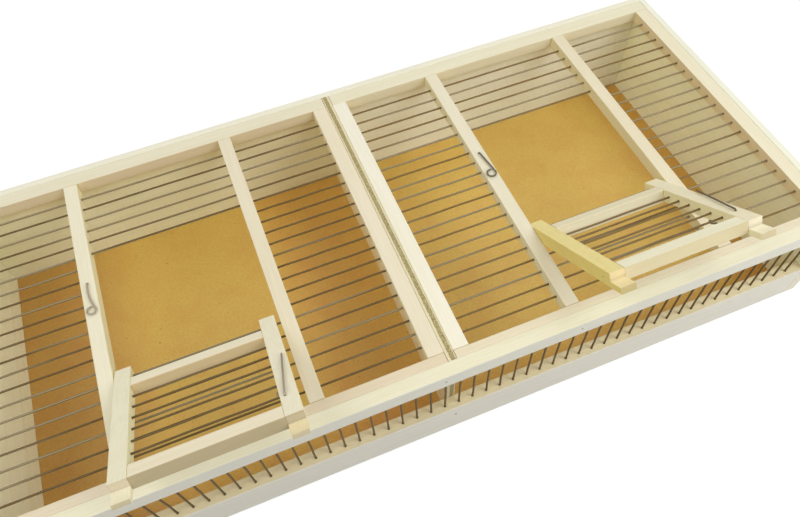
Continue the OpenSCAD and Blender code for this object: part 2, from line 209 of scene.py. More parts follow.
# Rings are circles about a far pith line, bent by slow noise. The distance from the pith is cut to rings, and
# each darkens towards its end. Streaks and fibres are noise drawn out along the board.
def softwood(name, tone, along, seed, tilt, holes, slices):
    look = woodLook
    f = newFinish(name)
    rng = np.random.default_rng(seed)
    shift = tuple(rng.uniform(-look["shift"], look["shift"], 3))
    turn = (tilt, 0, 0)
    broad = f.place(turn, shift, drawnOut(along, look["streakDraw"]))
    close = f.place(turn, shift, drawnOut(along, look["fibreDraw"]))
    spot = f.parts(f.place(turn))
    side, deep = [spot[axis] for axis in "xyz" if axis != along]
    pithSide = float(rng.uniform(*look["pithSide"]) * rng.choice([-1, 1]))
    pithDeep = float(rng.uniform(*look["pithDeep"]) * rng.choice([-1, 1]))
    rings = f.distance(side - pithSide, deep - pithDeep) * (1 / look["ringWidth"])
    ring = f.maths("FRACT", rings + f.noise(broad, **look["ringBend"]) * look["bendRings"])
    ring = ring * ring * (1.0 - f.between(ring, *look["ringEnd"]))
    streak = f.noise(broad, **look["streak"])
    fibre = f.noise(close, **look["fibre"])
    dark = ring * look["ringDepth"] + streak * look["streakDepth"] + fibre * look["fibreDepth"]
    colour = f.mix(dark, tone, tinted(tone, look["late"]))
    blotch = f.noise(broad, **look["blotch"]) * look["blotchDepth"]
    colour = f.mix(blotch, colour, tinted(tone, look["blotchShare"]))
    colour = grainAndLightSlices(f, colour, tone, dark, spot, slices)
    colour = holeShadeAndNail(f, colour, spot, holes)
    roughness = look["roughness"] + fibre * look["fibreRough"]
    return f.finish(colour, roughness, fibre + ring * look["ringHeight"], look["bump"])


plyLook = {
    "face": rgb(236, 227, 196), "faceDark": rgb(220, 204, 158),    # pale veneers, seen on edge
    "core": rgb(126, 108, 60), "coreLight": rgb(196, 182, 130),    # dark core with light specks
    "line": rgb(206, 184, 108), "lineDepth": 0.6,                  # glue line between two veneers
    "side": rgb(244, 231, 194), "sideDark": rgb(222, 199, 152),    # the sheet's two faces
    "coreShare": 0.57, "coreSoft": 0.35,                           # half of the core over half of the sheet
    "lineShare": 0.80, "lineFull": 0.1, "lineFade": 0.5,
    "drift": 0.004,                                                # sideways wander along the sheet
    "skinFrom": 0.2, "skinTo": 0.05,                               # under a face, where its own look sets in
    "ragged": {"stretch": (0, 0.3, 0.3), "scale": 1.0, "detail": 3.0, "rough": 0.6}, "raggedWidth": 1.4,
    "speck": {"stretch": (1.6, 0.5, 0.5), "scale": 0.9, "detail": 3.0, "rough": 0.75, "cut": (0.38, 0.62)},
    "veneer": {"stretch": (1, 0.03, 0.6), "scale": 0.6}, "veneerDepth": 0.5,
    "grain": {"stretch": (1, 0.02, 0.8), "scale": 0.7, "detail": 3.0, "rough": 0.6, "cut": (0.35, 0.7)},
    "grainDepth": 0.35,
    "roughness": 0.66, "grainHeight": 0.5, "bump": {"Strength": 0.3, "Distance": 0.15 * mm},
}


# Veneers lie parallel to the faces, so the colour on the edges depends on x; the faces show veneer grain
def plywood(name, half):
    f = newFinish(name)
    look = plyLook
    spot = f.parts(f.place())
    ragged = (f.pattern(**look["ragged"]) - 0.5) * look["raggedWidth"]
    across = f.maths("ABSOLUTE", spot["x"] + spot["y"] * look["drift"] + ragged)
    speck = f.pattern(**look["speck"])
    core = f.mix(speck, look["core"], look["coreLight"])
    face = f.mix(f.pattern(**look["veneer"]) * look["veneerDepth"], look["face"], look["faceDark"])
    edge = half * look["coreShare"]
    colour = f.mix(1.0 - f.between(across, edge - look["coreSoft"], edge + look["coreSoft"]), face, core)
    line = half * look["lineShare"]
    before = f.between(across, line - look["lineFade"], line - look["lineFull"])
    behind = f.between(across, line + look["lineFull"], line + look["lineFade"])
    colour = f.mix(before * (1.0 - behind) * look["lineDepth"], colour, look["line"])
    skin = f.between(f.maths("ABSOLUTE", spot["x"]), half - look["skinFrom"], half - look["skinTo"])
    grain = f.pattern(**look["grain"])
    colour = f.mix(skin, colour, f.mix(grain * look["grainDepth"], look["side"], look["sideDark"]))
    return f.finish(colour, look["roughness"], speck + grain * look["grainHeight"], look["bump"])


hardboardLook = {
    "tone": rgb(220, 184, 90),
    "layers": {   # from the lowest up: tone, how strongly it shows, and its pattern
        "mottle": (rgb(203, 160, 72), 0.45, {
            "scale": 0.35, "detail": 3.0, "rough": 0.65, "cut": (0.36, 0.66)}),
        "cloud": (rgb(210, 152, 72), 0.3, {
            "scale": 0.025, "detail": 3.0, "rough": 0.6, "cut": (0.42, 0.66)}),
        "fleck": (rgb(232, 202, 116), 0.5, {
            "stretch": (0.3, 1, 1), "scale": 1.0, "detail": 2.0, "rough": 0.6, "cut": (0.52, 0.72)}),
        "crossed": (rgb(203, 160, 72), 0.28, {
            "stretch": (0.3, 1, 1), "turn": (0, 0, 1.1), "scale": 0.9, "rough": 0.6, "cut": (0.54, 0.76)}),
        "speck": (rgb(126, 86, 38), 0.65, {
            "stretch": (1, 0.7, 1), "scale": 0.42, "detail": 1.0, "cut": (0.75, 0.78)}),
    },
    "bands": [   # painted shade and light: axis, distance from the box's middle, half of the width, soft edge, and share of the tone
        ("x", -470, 110, 50, (0.80, 0.68, 0.72)),
        ("x", -70, 66, 30, (0.98, 0.86, 0.82)),
        ("y", -235, 62, 40, (0.97, 0.86, 0.80)),
        ("x", 270, 250, 40, (1.05, 1.07, 1.12)),
        ("x", 500, 72, 25, (0.96, 0.82, 0.74)),
    ],
    "roughness": 0.5, "fleckRough": 0.15, "bump": {"Strength": 0.2, "Distance": 0.1 * mm},
}


# Pressed fibre: fine mottling, faint warm clouds, short fibres in two directions and a few dark specks. Broad
# bands of painted shade are redder and darker, and a band of painted light over the right half is paler.
def hardboard(name):
    f = newFinish(name)
    look = hardboardLook
    colour = look["tone"]
    shows = {}
    for layer, (tone, depth, pattern) in look["layers"].items():
        shows[layer] = f.pattern(**pattern)
        colour = f.mix(shows[layer] * depth, colour, tone)
    spot = f.parts(f.place())
    for axis, middle, half, soft, share in look["bands"]:
        paintedBand = 1.0 - f.between(f.maths("ABSOLUTE", spot[axis] - middle), half - soft, half + soft)
        colour = f.mix(paintedBand, colour, share + (1.0,), "MULTIPLY")
    roughness = look["roughness"] + shows["fleck"] * look["fleckRough"]
    return f.finish(colour, roughness, shows["fleck"] + shows["crossed"], look["bump"])


wireLook = {
    "grey": rgb(136, 124, 94), "brown": rgb(98, 78, 40), "rust": rgb(84, 56, 28),
    "drawn": 0.03,         # along the wire a pattern has this share of its waves
    "tarnish": {"scale": 0.09, "detail": 1.0}, "tarnishSoft": 0.05,
    "brownReach": 0.3,     # how many more wires of a brown row are brown: partly tarnish, partly painted reflection
    "patch": {"scale": 0.05, "detail": 3.0, "rough": 0.6}, "patchDepth": 0.6, "patchLeast": 0.6,
    "rustSpot": {"scale": 0.12, "detail": 3.0, "rough": 0.7, "cut": (0.60, 0.72)}, "rustDepth": 0.5,
    "scratch": {"scale": 2.2}, "bump": {"Strength": 0.15, "Distance": 0.05 * mm},
    "roughness": 0.52, "tarnishRough": 0.1, "metallic": 0.6,
    "shift": 300,          # each row is cut from its own place in the patterns
}


# Drawn wire with fine scratches along it. Some wires of a row are brown all along and the others grey: about
# half are brown where brown is 0.5, and nearly all above 1. Their tone is the brown of wireLook times pale.
# How brown and how pale a row is stands partly for tarnish and partly for painted reflection.
def steelWire(name, along, brown, seed, grey=wireLook["grey"], pale=1.0):
    f = newFinish(name)
    look = wireLook
    shift = tuple(np.random.default_rng(seed).uniform(-look["shift"], look["shift"], 3))
    drawn = f.place(move=shift, stretch=drawnOut(along, look["drawn"]))
    even = f.place(move=shift)
    edge = 0.5 - (brown - 0.5) * look["brownReach"]
    tarnish = f.noise(drawn, **look["tarnish"], cut=(edge - look["tarnishSoft"], edge + look["tarnishSoft"]))
    patch = f.noise(even, **look["patch"]) * look["patchDepth"] + look["patchLeast"]
    rust = f.noise(even, **look["rustSpot"])
    colour = f.mix(tarnish * patch, grey, tinted(look["brown"], (pale, pale, pale)))
    colour = f.mix(rust * tarnish * look["rustDepth"], colour, look["rust"])
    roughness = look["roughness"] + tarnish * look["tarnishRough"]
    scratch = f.noise(drawn, **look["scratch"])
    return f.finish(colour, roughness, scratch, look["bump"], Metallic=look["metallic"])


def shown(name, mesh, sharpAngle):  # smooth shading, but for edges sharper than the angle
    mesh.polygons.foreach_set("use_smooth", np.ones(len(mesh.polygons), bool))
    mesh.set_sharp_from_angle(angle=math.radians(sharpAngle))
    piece = bpy.data.objects.new(name, mesh)
    bpy.context.scene.collection.objects.link(piece)
    return piece


def dress(piece, node, material):
    piece.data.materials.clear()
    piece.data.materials.append(material)
    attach(piece, bodyOf[node])
    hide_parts(node)


boardShape = {
    "arris": 0.8 * mm, "steps": 3, "roundness": 0.6,
    "shortest": 5 * mm, "sharpEdge": 60,     # only long, sharp edges meet the plane
    "weld": 0.001 * mm, "flat": 0.5,         # the solid's loose triangles become whole faces first
    "sharpShade": 40,
}


# The board's own solid with its long outer edges taken off by a plane's pass
def roundedBoard(name, node, arris=boardShape["arris"]):
    shape = boardShape
    edit = bmesh.new()
    edit.from_mesh(nodes[node].data)
    bmesh.ops.remove_doubles(edit, verts=edit.verts, dist=shape["weld"])
    bmesh.ops.dissolve_limit(edit, angle_limit=math.radians(shape["flat"]),
                             verts=edit.verts, edges=edit.edges)
    edges = [edge for edge in edit.edges if len(edge.link_faces) == 2 and edge.is_convex
             and edge.calc_length() > shape["shortest"]
             and edge.calc_face_angle() > math.radians(shape["sharpEdge"])]
    bmesh.ops.bevel(edit, geom=edges, offset=arris, segments=shape["steps"],
                    profile=shape["roundness"], affect="EDGES", clamp_overlap=True)
    mesh = bpy.data.meshes.new(name)
    edit.to_mesh(mesh)
    edit.free()
    piece = shown(name, mesh, shape["sharpShade"])
    piece.modifiers.new("evenNormals", "WEIGHTED_NORMAL").keep_sharp = True
    return piece


tubeShape = {
    "around": 12, "step": 6 * mm,     # points round a wire, and along it from one ring to the next
    "blunt": 0.25,                    # share of the radius that the tips lose
    "weld": 0.0001 * mm, "sharpShade": 50,
}


# points is (wires, rows, around, 3). Each row is joined to the next and round; points in one place are welded
def sheetMesh(name, points):
    wires, rows, around = points.shape[:3]
    index = np.arange(wires * rows * around).reshape(wires, rows, around)
    nextIndex = np.roll(index, -1, axis=2)
    quads = np.stack([index[:, :-1], nextIndex[:, :-1], nextIndex[:, 1:], index[:, 1:]], -1).reshape(-1, 4)
    mesh = bpy.data.meshes.new(name)
    mesh.from_pydata(points.reshape(-1, 3).tolist(), [], quads.tolist())
    edit = bmesh.new()
    edit.from_mesh(mesh)
    bmesh.ops.remove_doubles(edit, verts=edit.verts, dist=tubeShape["weld"])
    bmesh.ops.recalc_face_normals(edit, faces=edit.faces)
    edit.to_mesh(mesh)
    edit.free()
    return shown(name, mesh, tubeShape["sharpShade"])


def unit(vectors):
    return vectors / np.linalg.norm(vectors, axis=-1, keepdims=True)


# centres is (wires, stations, 3). A ring of points lies round each station: across times the cosine of a turn
# plus upward times its sine, at the radius. Both ends are drawn in to a blunt tip and closed in their middle.
def tubes(name, centres, across, upward, radius):
    count = tubeShape["around"]
    turn = np.linspace(0, 2 * np.pi, count, endpoint=False)
    tip = radius * tubeShape["blunt"]
    first, last = centres[:, :1], centres[:, -1:]
    afterFirst = first + unit(centres[:, 1:2] - first) * tip
    beforeLast = last - unit(last - centres[:, -2:-1]) * tip
    body = np.concatenate([first, first, afterFirst, centres[:, 1:-1], beforeLast, last, last], 1)
    sizes = np.ones(body.shape[1]) * radius
    sizes[[0, -1]] = 0
    sizes[[1, -2]] = radius - tip
    ring = np.cos(turn)[:, None] * across[..., None, :] + np.sin(turn)[:, None] * upward[..., None, :]
    ring = np.broadcast_to(ring, (centres.shape[0], centres.shape[1], count, 3))
    ring = np.concatenate([ring[:, :1], ring[:, :1], ring, ring[:, -1:], ring[:, -1:]], 1)
    return sheetMesh(name, body[:, :, None] + ring * sizes[None, :, None, None])


def axisSpan(node, axis):  # a node's extent in millimetres
    low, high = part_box(node)
    return low["xyz".index(axis)] / mm, high["xyz".index(axis)] / mm


def camel(node):
    words = node.split("_")
    return words[0] + "".join(word.capitalize() for word in words[1:])


def doorTilt(side):  # how far a door stands open, as its tilt about X
    return math.radians(180 + joints[side + "_door"]["range_deg"][0])


def doorPlace(tilt, y, z):  # a place seen along the tilted door
    return y * math.cos(tilt) - z * math.sin(tilt), y * math.sin(tilt) + z * math.cos(tilt)


def reach(node, axis, tilt):  # a board's extent in millimetres, seen along the tilted door
    vertices = nodes[node].data.vertices
    points = np.empty(len(vertices) * 3)
    vertices.foreach_get("co", points)
    x, y, z = points.reshape(-1, 3).T / mm
    y, z = doorPlace(tilt, y, z)
    values = {"x": x, "y": y, "z": z}[axis]
    return float(values.min()), float(values.max())


def jointPlace(child):  # where a moving part turns, in millimetres
    return [value / mm for value in joints[child]["pos_m"]]


# Screen colour of each board
tones = {
    "back_wall": (250, 250, 219), "left_end_wall": (248, 249, 224), "right_end_wall": (250, 253, 226),
    "lower_front_board": (236, 232, 210), "upper_front_rail": (238, 234, 206),
    "left_rear_rail": (234, 227, 200), "right_rear_rail": (236, 230, 202),
    "left_front_rail": (228, 214, 186), "right_front_rail": (232, 222, 194),
    "left_outer_stile": (234, 228, 200), "left_inner_stile": (236, 226, 200),
    "right_inner_stile": (244, 240, 222), "right_outer_stile": (236, 229, 202),
    "left_crossbar_a": (238, 232, 206), "left_crossbar_b": (232, 222, 194),
    "right_crossbar_a": (234, 227, 202), "right_crossbar_b": (232, 222, 192),
    "left_door_rail_a": (242, 237, 210), "left_door_rail_b": (244, 238, 212),
    "left_door_hinge_bar": (244, 236, 210), "left_door_free_bar": (244, 234, 206),
    "right_door_rail_a": (246, 230, 158), "right_door_rail_b": (246, 238, 206),
    "right_door_hinge_bar": (240, 231, 198), "right_door_free_bar": (250, 245, 216),
}
faceShape = {
    "past": 1,                      # a slice runs this far past the board's face, to take all of it in
    "cut": 0.6, "cutShare": (0.72, 0.65, 0.53),    # darker wood at a board's sawn ends
    "sawn": 0.3, "sawnShare": (1.05, 1.03, 0.84),  # painted light: bars that run front to back are yellower on their sides
    "horn": {"left": 16.2, "right": 18.2},         # length of the stepped horns on the doors' side rails
    "rightHalf": 484,               # of the back wall, which is paler and bluer there: painted light
    "faces": {"left": ("x", 0), "right": ("x", 1), "front": ("y", 0), "back": ("y", 1), "top": ("z", 1)},
}


def skin(face, depth, share):  # a thin slice under one face of a board
    axis, end = faceShape["faces"][face]
    start, stop = (-depth, faceShape["past"]) if end else (-faceShape["past"], depth)
    return axis, end, start, stop, share


def hornWood(side, share):  # the horn of a door's side rail
    return "y", 0, faceShape["cut"], faceShape["horn"][side] - faceShape["cut"], share


def hornStep(side, share):  # the small upright face where the horn begins
    horn = faceShape["horn"][side]
    return "y", 0, horn - faceShape["cut"], horn + faceShape["cut"], share


# Slices of a board with a tone of their own: axis, which end, from and to in millimetres past that end, share
# Most are painted light and shade on single faces; the horn steps and the left door's bars are partly darker wood.
faceLightAndGrain = {
    # painted light on the back wall's right half, painted shade on its back and its top
    "back_wall": [("x", 1, -faceShape["rightHalf"], faceShape["past"], (1.0, 1.01, 1.16)),
                  skin("back", 0.4, (0.93, 0.89, 0.93)), skin("top", 0.6, (0.92, 0.88, 0.94))],
    # painted shade on the end walls' fronts, outer faces and tops
    "left_end_wall": [skin("front", 0.6, (0.88, 0.83, 0.82)), skin("left", 0.4, (0.93, 0.89, 0.91)),
                      skin("top", 0.6, (0.92, 0.88, 0.92))],
    "right_end_wall": [skin("front", 0.6, (0.88, 0.82, 0.82)), skin("right", 0.4, (0.93, 0.88, 0.90)),
                       skin("top", 0.6, (0.92, 0.88, 0.92))],
    # painted shade and warm light on the lower board's top under the upper rail; painted cool light on both fronts
    "lower_front_board": [skin("top", 0.6, (0.90, 0.81, 0.62)), skin("front", 0.4, (0.98, 0.98, 1.05))],
    "upper_front_rail": [skin("front", 0.4, (0.98, 0.99, 1.12))],
    # painted warm shade on the rear rail's inner face and on the outer stile's inner side
    "left_rear_rail": [skin("front", 0.4, (0.99, 0.92, 0.82))],
    "right_outer_stile": [skin("left", 0.4, (1.0, 0.90, 0.72))],
    # painted shade on the doors' bars, and on the left door's bars partly darker wood as well
    "left_door_free_bar": [skin("front", 0.6, (0.56, 0.50, 0.38))],
    "left_door_hinge_bar": [skin("front", 0.6, (0.81, 0.68, 0.48))],
    "right_door_free_bar": [skin("front", 0.6, (0.78, 0.70, 0.55))],
    # door rails: painted light and shade on horns, steps and faces, with darker end grain on the steps as well
    "left_door_rail_a": [hornWood("left", (0.97, 0.94, 0.84)), hornStep("left", (0.80, 0.72, 0.62))],
    "left_door_rail_b": [hornWood("left", (0.90, 0.80, 0.60)), hornStep("left", (0.62, 0.54, 0.42))],
    "right_door_rail_a": [skin("front", 0.6, (0.64, 0.60, 0.60)), hornWood("right", (0.96, 0.93, 1.10)),
                          hornStep("right", (0.92, 0.86, 1.02)), skin("left", 0.4, (0.94, 0.88, 0.62))],
    "right_door_rail_b": [hornStep("right", (0.91, 0.88, 0.86))],
}


def boardSlices(node, along, tilt):
    shape = faceShape
    low, high = reach(node, along, tilt)
    slices = [(along, low - shape["past"], low + shape["cut"], shape["cutShare"]),
              (along, high - shape["cut"], high + shape["past"], shape["cutShare"])]
    # painted light on the sides of stiles, crossbars and door rails
    if any(word in node for word in ("stile", "crossbar", "door_rail")):
        left, right = axisSpan(node, "x")
        slices.append(("x", left - shape["past"], left + shape["sawn"], shape["sawnShare"]))
        slices.append(("x", right - shape["sawn"], right + shape["past"], shape["sawnShare"]))
    for axis, end, start, stop, share in faceLightAndGrain.get(node, []):
        edge = reach(node, axis, tilt)[end]
        slices.append((axis, edge + start, edge + stop, share))
    return slices


wireSize = {
    "rod": 1.2, "bent": 1.0,                # radii of the rods and bars, and of the hooks and latches
    "rodPitch": 17.8, "barPitch": 17.5,
}
holeData = {
    "frontRods": 6,        # full rods in front of the door, the hinge rod among them
    "openRods": 9,         # rods that stop at the door's opening
    "margin": 3,           # a row's range goes this far past its first and last hole
    "past": 1,             # a hole's range goes this far past the board's face
    "lone": 1000,          # a pitch so long that only the first hole is on the board
    "nailFromTip": 30.8, "nailRadius": 0.5,
}


def halves(node):  # the left and the right half of a board
    low, high = axisSpan(node, "x")
    middle = (low + high) / 2
    return (low - holeData["past"], middle), (middle, high + holeData["past"])


def rodEnds(side):  # middle of a grille's first rod, and back of its last one
    return axisSpan(side + "_front_rods", "y")[0] + wireSize["rod"], axisSpan(side + "_rear_rods", "y")[1]


def rodHoles(side, half, start, stop):
    first, level = rodEnds(side)[0], jointPlace(side + "_door")[2]
    return {"row": ("y", first, wireSize["rodPitch"]), "level": ("z", level),
            "radius": wireSize["rod"], "within": {"x": half, "y": (start, stop)}}


def loneHole(x, y, radius):
    return {"row": ("x", x, holeData["lone"]), "level": ("y", y), "radius": radius}


# A crossbar's bay side holds every rod; its door side holds only the rods behind and in front of the door
def crossbarHoles(node, side):
    first, last = rodEnds(side)
    start, stop = first - holeData["margin"], last + holeData["margin"]
    opening = first + (holeData["frontRods"] - 0.5) * wireSize["rodPitch"]
    behind = opening + holeData["openRods"] * wireSize["rodPitch"]
    left, right = halves(node)
    if node.endswith("b"):
        return [rodHoles(side, right, start, stop), rodHoles(side, left, start, opening),
                rodHoles(side, left, behind, stop)]
    x, y = jointPlace(side + "_hook")[:2]
    return [rodHoles(side, left, start, stop), rodHoles(side, right, start, opening),
            rodHoles(side, right, behind, stop), loneHole(x, y, wireSize["bent"])]


def stileHoles(node, side):
    first, last = rodEnds(side)
    inward = halves(node)[1 if node in ("left_outer_stile", "right_inner_stile") else 0]
    return [rodHoles(side, inward, first - holeData["margin"], last + holeData["margin"])]


def frontHoles(node):
    h = holeData
    low, high = axisSpan(node, "z")
    face = high if node == "lower_front_board" else low
    depth = axisSpan("left_front_bars", "y")[0] + wireSize["rod"]
    holes = []
    for side in ("left", "right"):
        first, last = axisSpan(side + "_front_bars", "x")
        within = {"z": (face - h["past"], face + h["past"]), "x": (first - h["margin"], last + h["margin"])}
        holes.append({"row": ("x", first + wireSize["rod"], wireSize["barPitch"]), "level": ("y", depth),
                      "radius": wireSize["rod"], "within": within})
    return holes


def doorRailHoles(node, side, tilt):
    h, radius = holeData, wireSize["rod"]
    left, right = halves(node)
    rodY, rodZ = axisSpan(side + "_door_rods", "y"), axisSpan(side + "_door_rods", "z")
    first, level = doorPlace(tilt, rodY[1] - radius, rodZ[0] + radius)
    last = doorPlace(tilt, rodY[0] + radius, rodZ[1] - radius)[0]
    inward = right if node.endswith("a") else left
    rods = {"row": ("y", first, wireSize["rodPitch"]), "level": ("z", level), "radius": radius,
            "within": {"x": inward, "y": (last - h["margin"], first + h["margin"])}}
    if node == "left_door_rail_a":
        return [rods]
    if node == "right_door_rail_a":   # it has a nail in its outer side
        face = axisSpan(node, "x")[0]
        tip, middle = reach(node, "y", tilt)[0], sum(reach(node, "z", tilt)) / 2
        return [rods, {"row": ("y", tip + h["nailFromTip"], h["lone"]), "level": ("z", middle),
                       "radius": h["nailRadius"], "within": {"x": (face - h["past"], face + h["past"])}}]
    x, y, z = jointPlace(side + "_latch")
    return [rods, loneHole(x, doorPlace(tilt, y, z)[0], wireSize["bent"])]


def boardHoles(node, side, tilt):
    if "stile" in node:
        return stileHoles(node, side)
    if "crossbar" in node:
        return crossbarHoles(node, side)
    if "door_rail" in node:
        return doorRailHoles(node, side, tilt)
    return frontHoles(node) if node in ("lower_front_board", "upper_front_rail") else []


for number, (node, tone) in enumerate(tones.items()):
    side = node.split("_")[0]
    tilt = doorTilt(side) if "door" in node else 0.0
    along = "y" if any(word in node for word in ("stile", "crossbar", "end_wall", "door_rail")) else "x"
    wood = softwood(camel(node) + "Wood", rgb(*tone), along, woodLook["seed"] + number, tilt,
                    boardHoles(node, side, tilt), boardSlices(node, along, tilt))
    dress(roundedBoard(camel(node) + "Board", node), node, wood)

sheetShape = {"plyArris": 0.4 * mm, "floorArris": 0.3 * mm}
low, high = axisSpan("partition", "x")
dress(roundedBoard("partitionPly", "partition", sheetShape["plyArris"]), "partition",
      plywood("layeredPly", (high - low) / 2))
dress(roundedBoard("floorSheet", "floor_panel", sheetShape["floorArris"]), "floor_panel",
      hardboard("brownHardboard"))
print("boards dressed:", len(tones) + 2)

rodShape = {
    "bend": 0.25 * mm, "calm": 0.1 * mm,              # how far a wire bends, and one that a door touches
    "still": {"front_rods": [4], "rear_rods": [0]},   # the wires that a door touches
    "waves": (0.8, 3.2), "waveShare": (0.2, 0.5),     # ranges: a sine's waves, and its share of the bend
    "endShare": 1 / 12, "stations": 12,               # bends fade out at the ends; fewest rings along a wire
    # brown per row: partly tarnish and partly painted reflection
    "brown": {"left_door_rods": 0.9, "left_inner_bay_rods": 0.8, "left_outer_bay_rods": 0.75,
              "right_door_rods": 0.5, "right_inner_bay_rods": 0.6, "right_outer_bay_rods": 0.2,
              "left_front_bars": 1.4, "right_front_bars": 1.4},
    "brownElsewhere": 0.6,
    "pale": {"right": 1.5, "left": 1.05},             # painted light in part: the right side's brown rods are paler
    "seed": 60, "steelSeed": 90,
}


# Straightened wires in a row across the box of their node. Each has two slow sine bends of its own each way,
# which fade out at its ends. Those in still, which a door touches, stay almost straight, and hinge rods are.
def wireRow(name, node, along, pitch, seed, still):
    shape = rodShape
    low, high = (np.array(corner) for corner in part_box(node))
    radius = wireSize["rod"] * mm
    axis = "xyz".index(along)
    start, stop = low + radius, high - radius
    if node.endswith("door_rods"):   # an open door rises towards the front
        start[2], stop[2] = stop[2], start[2]
    start[axis] = stop[axis] = low[axis]
    count = int(round(np.linalg.norm(stop - start) / pitch)) + 1
    length = high[axis] - low[axis]
    t = np.linspace(0, 1, max(shape["stations"], int(length / tubeShape["step"])))
    step = np.linspace(0, 1, count)[:, None]
    centres = (start + step * (stop - start))[:, None] + t[None, :, None] * length * np.eye(3)[axis]
    rng = np.random.default_rng(seed)
    size = np.where(np.isin(np.arange(count), still), shape["calm"], shape["bend"])[:, None]
    size = size * (0.0 if "hinge" in node else 1.0)
    fade = np.minimum(1, np.minimum(t, 1 - t) / shape["endShare"])[None]
    others = [i for i in range(3) if i != axis]
    for other in others:
        waves = rng.uniform(*shape["waves"], (count, 2, 1))
        phase = rng.uniform(0, 2 * np.pi, (count, 2, 1))
        share = rng.uniform(*shape["waveShare"], (count, 2, 1))
        centres[:, :, other] += (share * np.sin(2 * np.pi * waves * t + phase)).sum(1) * size * fade
    across, upward = np.eye(3)[others[0]], np.eye(3)[others[1]]
    return tubes(name, centres, across, upward, radius)


rows = sorted(node for node in nodes if node.endswith(("_rods", "_rod", "_bars")))
for number, node in enumerate(rows):
    side, kind = node.split("_", 1)
    upright = kind == "front_bars"
    along, pitch = ("z", wireSize["barPitch"]) if upright else ("x", wireSize["rodPitch"])
    brown = rodShape["brown"].get(node, rodShape["brownElsewhere"])
    pale = 1.0 if upright else rodShape["pale"][side]
    steel = steelWire(camel(node) + "Steel", along, brown, rodShape["steelSeed"] + number, pale=pale)
    wires = wireRow(camel(node) + "Wire", node, along, pitch * mm, rodShape["seed"] + number,
                    rodShape["still"].get(kind, []))
    dress(wires, node, steel)
print("wire rows dressed:", len(rows))

bentWire = {
    "eyeTurn": 300, "bend": 2 * mm, "steps": {"bend": 8, "eye": 32},
    "hookEye": {"left": 4.9 * mm, "right": 5.5 * mm}, "hookLeg": 11 * mm,
    "hookLength": {"left": 39 * mm, "right": 37 * mm},
    "bow": {"left": 20, "right": 0}, "bowRadius": 60 * mm,     # degrees that a hook's shank bows sideways
    "latchArm": {"left": 65 * mm, "right": 73 * mm}, "latchHandle": 28 * mm, "latchEye": 6 * mm,
    "doorThickness": {"left": 14.5 * mm, "right": 16 * mm}, "restGap": 0.3 * mm,
    "armLift": 2.2 * mm, "handleLift": 3.2 * mm,               # off the rail's inner and outer face
    "lean": 7,                                                 # degrees off the rail's own line
    "grey": {"left": rgb(166, 154, 134), "right": rgb(110, 102, 86)},
    "hookSeed": 130, "latchSeed": 140,
}


def about(axis, degrees):  # turning matrix about one axis
    c, s = math.cos(math.radians(degrees)), math.sin(math.radians(degrees))
    i, j = [(1, 2), (2, 0), (0, 1)]["xyz".index(axis)]
    turned = np.eye(3)
    turned[i, i], turned[i, j], turned[j, i], turned[j, j] = c, -s, s, c
    return turned


# Follows the wire like someone bending it: straight runs, bends and eyes towards the wire's own side, and
# twists. A bend is an arc about a centre at its radius on that side.
def bentPath(start, facing, moves):
    spot, turned, roll = np.array(start, float), facing, 0
    spots, facings = [spot], [turned]
    for kind, amount, *rest in moves:
        if kind == "run":
            spot = spot + turned[:, 2] * amount
            spots.append(spot)
            facings.append(turned @ about("z", -roll))
        elif kind == "twist":
            turned, roll = turned @ about("z", amount), roll + amount
        else:
            steps = bentWire["steps"][kind]
            centre, base = spot + turned[:, 0] * amount, turned
            for step in range(1, steps + 1):
                turned = base @ about("y", rest[0] * step / steps)
                spots.append(centre - turned[:, 0] * amount)
                facings.append(turned @ about("z", -roll))
            spot = spots[-1]
    return np.array(spots)[None], np.array(facings)[None]


def bentPiece(name, start, facing, moves):
    spots, facings = bentPath(start, facing, moves)
    return tubes(name, spots, facings[..., 0], facings[..., 1], wireSize["bent"] * mm)


# Up its leg in the crossbar, over to a shank that may bow, and round into an eye. The shank starts at a small
# angle, so that the eye's middle lies straight in front of the leg.
def bentHook(side):
    b = bentWire
    eye, bow = b["hookEye"][side], b["bow"][side]
    shankAngle = math.degrees(math.asin(eye / b["hookLength"][side]))
    shank = b["hookLength"][side] * math.cos(math.radians(shankAngle))
    half = (shank - b["bend"]) / 2 - b["bowRadius"] * math.tan(math.radians(bow / 2))
    foot = np.array(joints[side + "_hook"]["pos_m"]) - [0, 0, b["hookLeg"]]
    return bentPiece(side + "HookWire", foot, about("z", -90 + shankAngle - bow / 2), [
        ("run", b["hookLeg"]), ("bend", b["bend"], 90), ("run", half), ("twist", 90),
        ("bend", b["bowRadius"], bow), ("run", half), ("twist", -180), ("eye", eye, b["eyeTurn"])])


# Along the arm on the rail's inner face, through the rail, and back along its outer face into an eye. An open
# door rests on the rod in front of its hinge rod, which gives its inner face's height over the latch's joint.
def bentLatch(side, tilt):
    b = bentWire
    arm, thickness = b["latchArm"][side], b["doorThickness"][side]
    rest = (wireSize["rodPitch"] * math.sin(tilt) - wireSize["rod"]) * mm - b["restGap"]
    pivot = np.array(joints[side + "_latch"]["pos_m"])
    lean = about("x", -math.degrees(tilt)) @ about("z", -b["lean"])
    armEnd = pivot + lean @ np.array([0, arm, thickness - rest + b["armLift"]])
    leg = thickness + b["armLift"] + b["handleLift"] - 2 * b["bend"]
    return bentPiece(side + "LatchWire", armEnd, lean @ about("x", 90) @ about("z", -90), [
        ("run", arm - b["bend"]), ("bend", b["bend"], 90), ("run", leg), ("bend", b["bend"], 90),
        ("run", b["latchHandle"] - b["bend"]), ("twist", -90), ("eye", b["latchEye"], b["eyeTurn"])])


